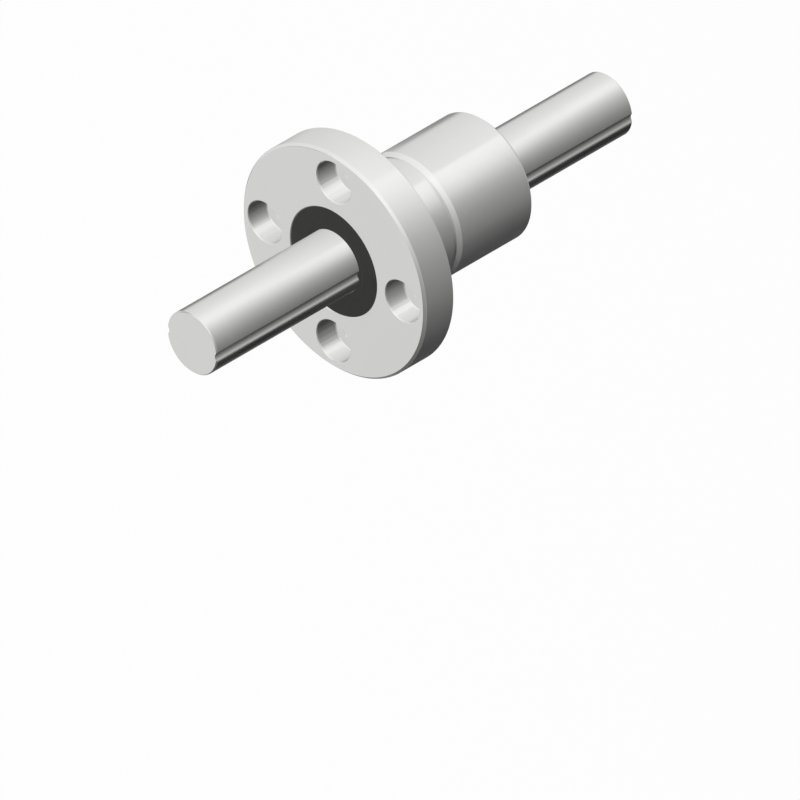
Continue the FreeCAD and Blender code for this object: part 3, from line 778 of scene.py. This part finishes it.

# The tunnel's sheets glow and show only in reflections, so their stops are painted reflection: bright
# stretches paint the steel's highlights and dim ones paint its shaded sides. Each stop of a sheet is its
# turn in degrees, from straight down by way of +X, and its brightness, where 1 is a white page. From the
# camera, a piece shows the stretch of the tunnel that lies 60 to 80 mm behind it, so each stretch has the
# stops that paint the highlights and shade of the piece in front of it.
BAR_RIGHT = (
    (-24, 0.18),
    (-10, 0.1),
    (2, 0.03),
    (18, 0.02),
    (27, 0.06),
    (45, 0.15),
    (93, 0.38),
    (119, 0.6),
    (135, 0.77),
    (151, 1.02),
    (168, 1.38),
    (180, 1.5),
)
LOWER_LEFT = ((-109, 1.05), (-95, 0.97), (-90, 0.45), (-85, 0.25), (-66, 0.2), (-54, 0.5), (-36, 0.5))
BAR_LEFT = ((-180, 1.5), (-168, 1.42), (-150, 1.24), *LOWER_LEFT, (-24, 0.18))
SEAL_LEFT = (
    (-180, 1.14),
    (-150, 1.13),
    (-120, 1.02),
    (-109, 0.98),
    (-89, 0.88),
    (-67, 0.6),
    (-57, 0.3),
    (-48, 0.1),
    (-24, 0.07),
)
FLANGE_LEFT = ((-180, 1.14), (-109, 0.98), (-89, 0.88), (-67, 0.64), (-54, 0.62), (-36, 0.6), (-24, 0.07))
NUT_RIGHT = (
    (-24, 0.07),
    (-10, 0.05),
    (12, 0.05),
    (24, 0.08),
    (45, 0.14),
    (93, 0.4),
    (110, 0.56),
    (119, 0.7),
    (127, 0.88),
    (135, 1.1),
    (143, 1.28),
    (151, 1.42),
    (160, 1.47),
    (176, 1.46),
    (177, 1.14),
    (180, 1.14),
)
NUT_LEFT = ((-180, 1.14), (-150, 1.18), *LOWER_LEFT, (-24, 0.07))
FRONT = (
    (5, 0.12),
    (27, 0.17),
    (52, 0.31),
    (73, 0.45),
    (90, 0.6),
    (100, 0.72),
    (118, 0.96),
    (135, 1.24),
    (152, 1.42),
    (168, 1.54),
    (182, 1.42),
    (196, 1.36),
    (222, 1.28),
)
PAINTED_REFLECTIONS = (  # each glowing sheet with its front and back end along Y, in metres
    ("near_bar_right_painted_reflection", (0.02, 0.056), BAR_RIGHT),
    ("near_bar_left_painted_reflection", (0.02, 0.056), BAR_LEFT),
    ("nut_right_painted_reflection", (0.056, 0.106), NUT_RIGHT),
    ("seal_left_painted_reflection", (0.056, 0.069), SEAL_LEFT),
    ("flange_left_painted_reflection", (0.069, 0.0865), FLANGE_LEFT),
    ("nut_left_painted_reflection", (0.0865, 0.106), NUT_LEFT),
    ("far_bar_right_painted_reflection", (0.106, 0.17), BAR_RIGHT),
    ("far_bar_left_painted_reflection", (0.106, 0.17), BAR_LEFT),
    ("front_painted_reflection", (-0.2, 0.02), FRONT),
    ("left_painted_reflection", (-0.07, 0.02), ((222, 1.28), (242, 1.17), (275, 1.02))),
    # The flags glow too: sheets of painted reflection that go from bright to dim.
    ("left_far_painted_reflection", (-0.135, -0.07), ((222, 1.1), (240, 0.75), (262, 0.45), (285, 0.3))),
    ("low_painted_reflection", (-0.2, -0.02), ((-30, 1.0), (-9, 0.28), (5, 0.12))),
    ("near_painted_reflection", (-0.02, 0.02), ((-85, 1.0), (-55, 0.75), (-17, 0.28), (5, 0.12))),
)
PAINTED_REFLECTION_BACK = 0.17
BACK_REFLECTION_GLOW = (0.25, 1.15)  # painted glow at the foot and the head of the disc that closes the back


def reflected_only(sheet):
    """Hides a studio sheet from everything but reflections, where its glow is painted reflection."""
    sheet.visible_camera = False
    sheet.visible_diffuse = False
    sheet.visible_shadow = False
    sheet.visible_transmission = False


def make_painted_reflection(name, ends, shades):
    """One graded, glowing sheet of the tunnel round the object's axis, which only reflections show.

    A point at the turn t from straight down, by way of +X, lies at x = reach sin(t), z = -reach cos(t). The
    sheet runs from one end to the other along Y, and its brightness follows t through the stops of a colour
    ramp. That glow is painted reflection: its bright stops paint highlights on the steel, and its dim
    ones paint shade.
    """
    first, last = math.radians(shades[0][0]), math.radians(shades[-1][0])
    turns = np.linspace(first, last, PAINTED_REFLECTION_STEPS)
    y = np.array(ends)[:, None]
    points = np.broadcast_arrays(PAINTED_REFLECTION_REACH * np.sin(turns), y, -PAINTED_REFLECTION_REACH * np.cos(turns))
    vertices, faces = quads(np.stack(points, -1), closed=False)
    material, tree = blank_material(name)
    place = add(tree, "SeparateXYZ", {"Vector": add(tree, "TexCoord").outputs["Object"]})
    down = add(tree, "Math", {0: place.outputs["Z"], 1: -1.0}, operation="MULTIPLY")
    turn = add(tree, "Math", {0: place.outputs["X"], 1: down.outputs[0]}, operation="ARCTAN2")
    span = {0: turn.outputs[0], 1: first + 2 * math.pi, 2: first}
    whole = add(tree, "Math", span, operation="WRAP")
    share = add(tree, "MapRange", {"Value": whole.outputs[0], "From Min": first, "From Max": last})
    ramp = add(tree, "ValToRGB", {"Fac": share.outputs["Result"]})
    stops = ramp.color_ramp.elements
    for angle, _ in shades[1:-1]:
        stops.new((angle - shades[0][0]) / (shades[-1][0] - shades[0][0]))
    for stop, (_, shade) in zip(stops, shades):
        stop.color = (shade / PAINTED_REFLECTION_GLOW,) * 3 + (1,)
    # Painted reflection: the sheet glows bright where it paints a highlight and dim where it paints shade.
    glow = add(tree, "Emission", {"Color": ramp.outputs["Color"], "Strength": PAINTED_REFLECTION_GLOW})
    add(tree, "OutputMaterial", {"Surface": glow.outputs[0]})
    reflected_only(stage_mesh(name, vertices.tolist(), faces.tolist(), material))


def make_end_painted_reflection_sheet():
    """A round glowing disc across the tunnel's back: painted reflection for what leans away from the camera.

    Its rim is a ring about the axis at the tunnel's radius, and its brightness grows evenly from its foot
    to its head: what reflects its foot gets painted shade, and what reflects its head painted light.
    """
    turns = np.linspace(0, 2 * math.pi, RIM_STEPS, endpoint=False)
    rim = cylinder_points(turns, [(PAINTED_REFLECTION_REACH, PAINTED_REFLECTION_BACK)])[0]
    material, tree = blank_material("back_painted_reflection")
    place = add(tree, "SeparateXYZ", {"Vector": add(tree, "TexCoord").outputs["Object"]})
    shade = {"Value": place.outputs["Z"], "From Min": -PAINTED_REFLECTION_REACH, "From Max": PAINTED_REFLECTION_REACH}
    shade |= {"To Min": BACK_REFLECTION_GLOW[0], "To Max": BACK_REFLECTION_GLOW[1]}
    # Painted reflection: the disc glows dimmer at its foot and brighter at its head.
    glow = add(tree, "Emission", {"Strength": add(tree, "MapRange", shade).outputs["Result"]})
    add(tree, "OutputMaterial", {"Surface": glow.outputs[0]})
    reflected_only(stage_mesh("end_painted_reflection_sheet", rim.tolist(), [list(range(RIM_STEPS))], material))


def add_lamp(name, place, width, height, strength, shown):
    """A soft lamp that faces the object; strength is its own brightness, where 1 is a white page.

    It shows in reflections only where shown is true.
    """
    light = bpy.data.lights.new(name, "AREA")
    light.shape = "RECTANGLE"
    light.size = width
    light.size_y = height
    light.energy = strength * math.pi * width * height
    lamp = bpy.data.objects.new(name, light)
    lamp.location = place
    lamp.rotation_euler = Vector(place).to_track_quat("Z", "Y").to_euler()
    lamp.visible_glossy = shown
    bpy.context.scene.collection.objects.link(lamp)


def make_camera():
    """Parallel view from the front, the right and above, with all three axes equally foreshortened.

    The picture's centre is to the right of and below the flange's centre.
    """
    data = bpy.data.cameras.new("camera")
    data.type = "ORTHO"
    data.ortho_scale = PICTURE_WIDTH * MM
    camera = bpy.data.objects.new("camera", data)
    turn = Euler((math.radians(90) - TILT, 0, AZIMUTH)).to_matrix()
    centre = turn @ Vector((PICTURE_RIGHT * MM, -PICTURE_DOWN * MM, CAMERA_DISTANCE))
    camera.matrix_world = Matrix.Translation(centre) @ turn.to_4x4()
    bpy.context.scene.collection.objects.link(camera)
    bpy.context.scene.camera = camera


make_camera()
make_world()
make_floor()
# Glowing sheets, seen only in reflections, that paint the steel's highlights and shaded sides.
for name, ends, shades in PAINTED_REFLECTIONS:
    make_painted_reflection(name, ends, shades)
# A glowing disc, seen only in reflections, that paints light and shade on what leans away.
make_end_painted_reflection_sheet()
add_lamp("key_softbox", (-0.5, -0.52, 0.5), width=0.8, height=0.8, strength=2.0, shown=False)
add_lamp("top_softbox", (-0.1, -0.45, 0.75), width=1.2, height=0.8, strength=0.35, shown=True)
make_shaft()
make_nut()
make_seal("front")
make_seal("rear")
dress_inner_pieces()
bpy.context.scene.view_settings.view_transform = "Standard"
